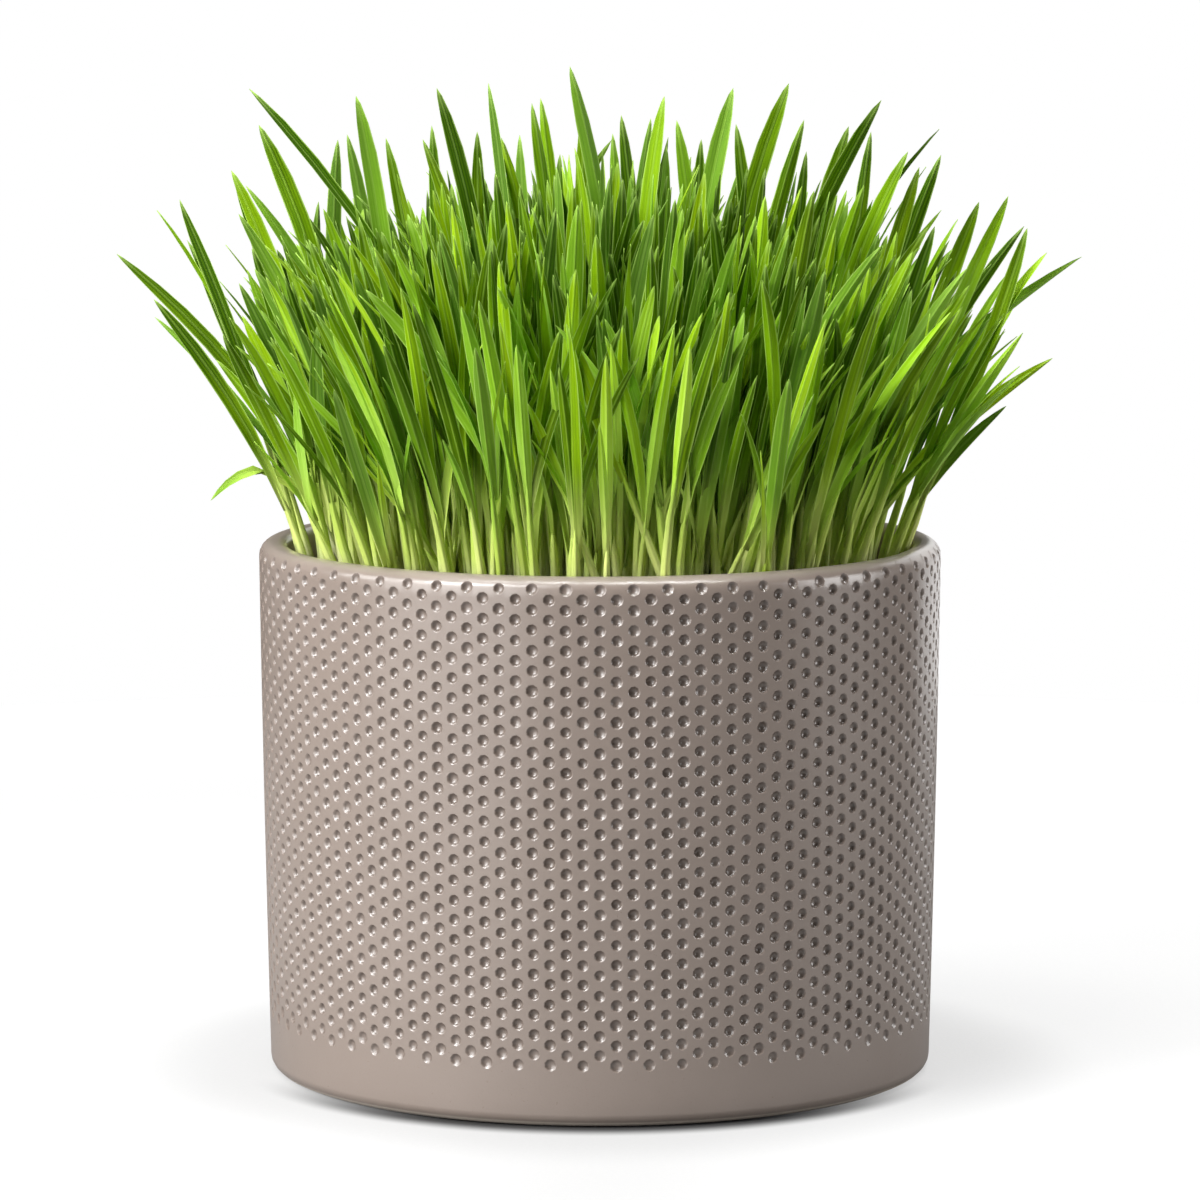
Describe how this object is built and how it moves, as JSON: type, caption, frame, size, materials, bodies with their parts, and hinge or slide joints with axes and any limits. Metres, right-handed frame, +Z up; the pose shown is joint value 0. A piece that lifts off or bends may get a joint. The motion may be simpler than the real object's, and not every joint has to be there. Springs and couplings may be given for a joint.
{
  "type": "potted cat grass",
  "caption": "Dense stand of young cat grass fanning out of a round, slightly tapered ceramic pot with a dimpled outer wall.",
  "frame": {"origin": "middle of the pot's foot, on the surface that the pot stands on", "axes": "+Z up out of the pot; +X to the right and -Y towards the viewer; the pot is round, so its front is wherever the grass is seen from"},
  "size_m": [0.226, 0.216, 0.235],
  "materials": {
    "pot_glaze": "satin",
    "potting_mix": "matte",
    "grass_leaf": "satin"
  },
  "bodies": {
    "root": {"pot": "pot_glaze", "potting_mix": "potting_mix", "grass_tuft_ring1_01": "grass_leaf", "grass_tuft_ring2_01": "grass_leaf", "grass_tuft_ring2_02": "grass_leaf", "grass_tuft_ring2_03": "grass_leaf", "grass_tuft_ring2_04": "grass_leaf", "grass_tuft_ring2_05": "grass_leaf", "grass_tuft_ring2_06": "grass_leaf", "grass_tuft_ring3_01": "grass_leaf", "grass_tuft_ring3_02": "grass_leaf", "grass_tuft_ring3_03": "grass_leaf", "grass_tuft_ring3_04": "grass_leaf", "grass_tuft_ring3_05": "grass_leaf", "grass_tuft_ring3_06": "grass_leaf", "grass_tuft_ring3_07": "grass_leaf", "grass_tuft_ring3_08": "grass_leaf", "grass_tuft_ring3_09": "grass_leaf", "grass_tuft_ring3_10": "grass_leaf", "grass_tuft_ring3_11": "grass_leaf", "grass_tuft_ring3_12": "grass_leaf", "grass_tuft_ring4_01": "grass_leaf", "grass_tuft_ring4_02": "grass_leaf", "grass_tuft_ring4_03": "grass_leaf", "grass_tuft_ring4_04": "grass_leaf", "grass_tuft_ring4_05": "grass_leaf", "grass_tuft_ring4_06": "grass_leaf", "grass_tuft_ring4_07": "grass_leaf", "grass_tuft_ring4_08": "grass_leaf", "grass_tuft_ring4_09": "grass_leaf", "grass_tuft_ring4_10": "grass_leaf", "grass_tuft_ring4_11": "grass_leaf", "grass_tuft_ring4_12": "grass_leaf", "grass_tuft_ring4_13": "grass_leaf", "grass_tuft_ring4_14": "grass_leaf", "grass_tuft_ring4_15": "grass_leaf", "grass_tuft_ring4_16": "grass_leaf", "grass_tuft_ring5_01": "grass_leaf", "grass_tuft_ring5_02": "grass_leaf", "grass_tuft_ring5_03": "grass_leaf", "grass_tuft_ring5_04": "grass_leaf", "grass_tuft_ring5_05": "grass_leaf", "grass_tuft_ring5_06": "grass_leaf", "grass_tuft_ring5_07": "grass_leaf", "grass_tuft_ring5_08": "grass_leaf", "grass_tuft_ring5_09": "grass_leaf", "grass_tuft_ring5_10": "grass_leaf", "grass_tuft_ring5_11": "grass_leaf", "grass_tuft_ring5_12": "grass_leaf", "grass_tuft_ring5_13": "grass_leaf", "grass_tuft_ring5_14": "grass_leaf", "grass_tuft_ring5_15": "grass_leaf", "grass_tuft_ring5_16": "grass_leaf", "grass_tuft_ring5_17": "grass_leaf", "grass_tuft_ring5_18": "grass_leaf", "grass_tuft_ring5_19": "grass_leaf", "grass_tuft_ring5_20": "grass_leaf"}
  },
  "joints": []
}
